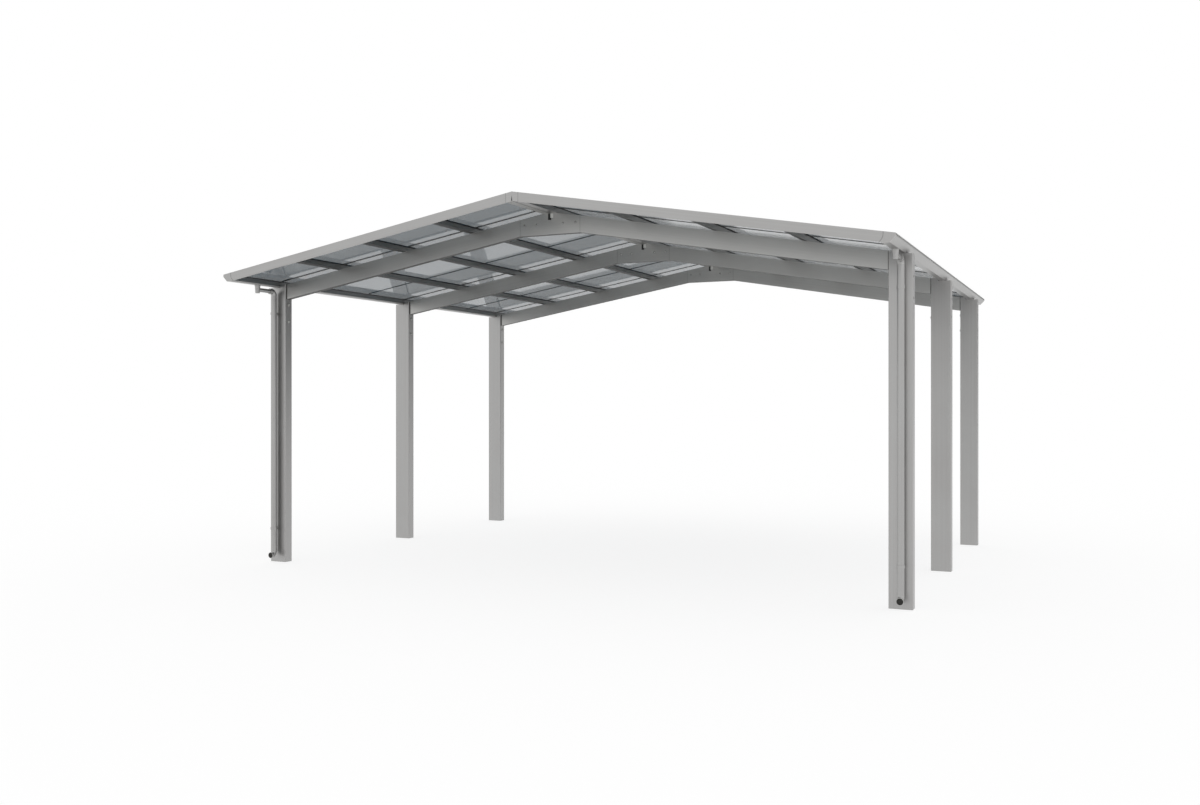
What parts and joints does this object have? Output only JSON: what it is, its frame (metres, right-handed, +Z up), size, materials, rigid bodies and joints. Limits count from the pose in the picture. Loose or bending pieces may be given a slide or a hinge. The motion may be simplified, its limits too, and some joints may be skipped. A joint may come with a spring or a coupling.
{
  "type": "carport",
  "caption": "Open carport: hollow posts and rafters carry a low gable roof of clear grey sheets, with eaves gutters, verge trims and front downpipes.",
  "frame": {"origin": "on the ground, in the middle of the plan", "axes": "+X across the carport towards the right-hand posts, +Y from the front gable to the rear one, +Z up"},
  "size_m": [5.586, 5.058, 2.9727],
  "materials": {
    "frame_metal": "satin",
    "dark_fitting": "matte",
    "clear_sheet": "gloss",
    "black_clip": "matte"
  },
  "bodies": {
    "root": {"post_front_left": "frame_metal", "post_front_right": "frame_metal", "post_middle_left": "frame_metal", "post_middle_right": "frame_metal", "post_rear_left": "frame_metal", "post_rear_right": "frame_metal", "rafter_front_left": "frame_metal", "rafter_front_right": "frame_metal", "rafter_middle_left": "frame_metal", "rafter_middle_right": "frame_metal", "rafter_rear_left": "frame_metal", "rafter_rear_right": "frame_metal", "apex_piece_front": "frame_metal", "apex_piece_middle": "frame_metal", "apex_piece_rear": "frame_metal", "rafter_shoes": "dark_fitting", "ridge_beam": "frame_metal", "ridge_clips": "black_clip", "ridge_caps": "frame_metal", "purlin_left_1": "frame_metal", "purlin_left_2": "frame_metal", "purlin_left_3": "frame_metal", "purlin_right_1": "frame_metal", "purlin_right_2": "frame_metal", "purlin_right_3": "frame_metal", "roof_sheets_left_1": "clear_sheet", "roof_sheets_left_2": "clear_sheet", "roof_sheets_left_3": "clear_sheet", "roof_sheets_left_4": "clear_sheet", "roof_sheets_right_1": "clear_sheet", "roof_sheets_right_2": "clear_sheet", "roof_sheets_right_3": "clear_sheet", "roof_sheets_right_4": "clear_sheet", "verge_trim_front_left": "frame_metal", "verge_trim_front_right": "frame_metal", "verge_trim_rear_left": "frame_metal", "verge_trim_rear_right": "frame_metal", "gutter_left": "frame_metal", "gutter_right": "frame_metal", "downpipe_left": "frame_metal", "downpipe_right": "frame_metal", "sheet_joiners": "dark_fitting", "gutter_end_caps": "frame_metal", "rain_hoppers": "frame_metal", "pipe_clips": "frame_metal"}
  },
  "joints": []
}
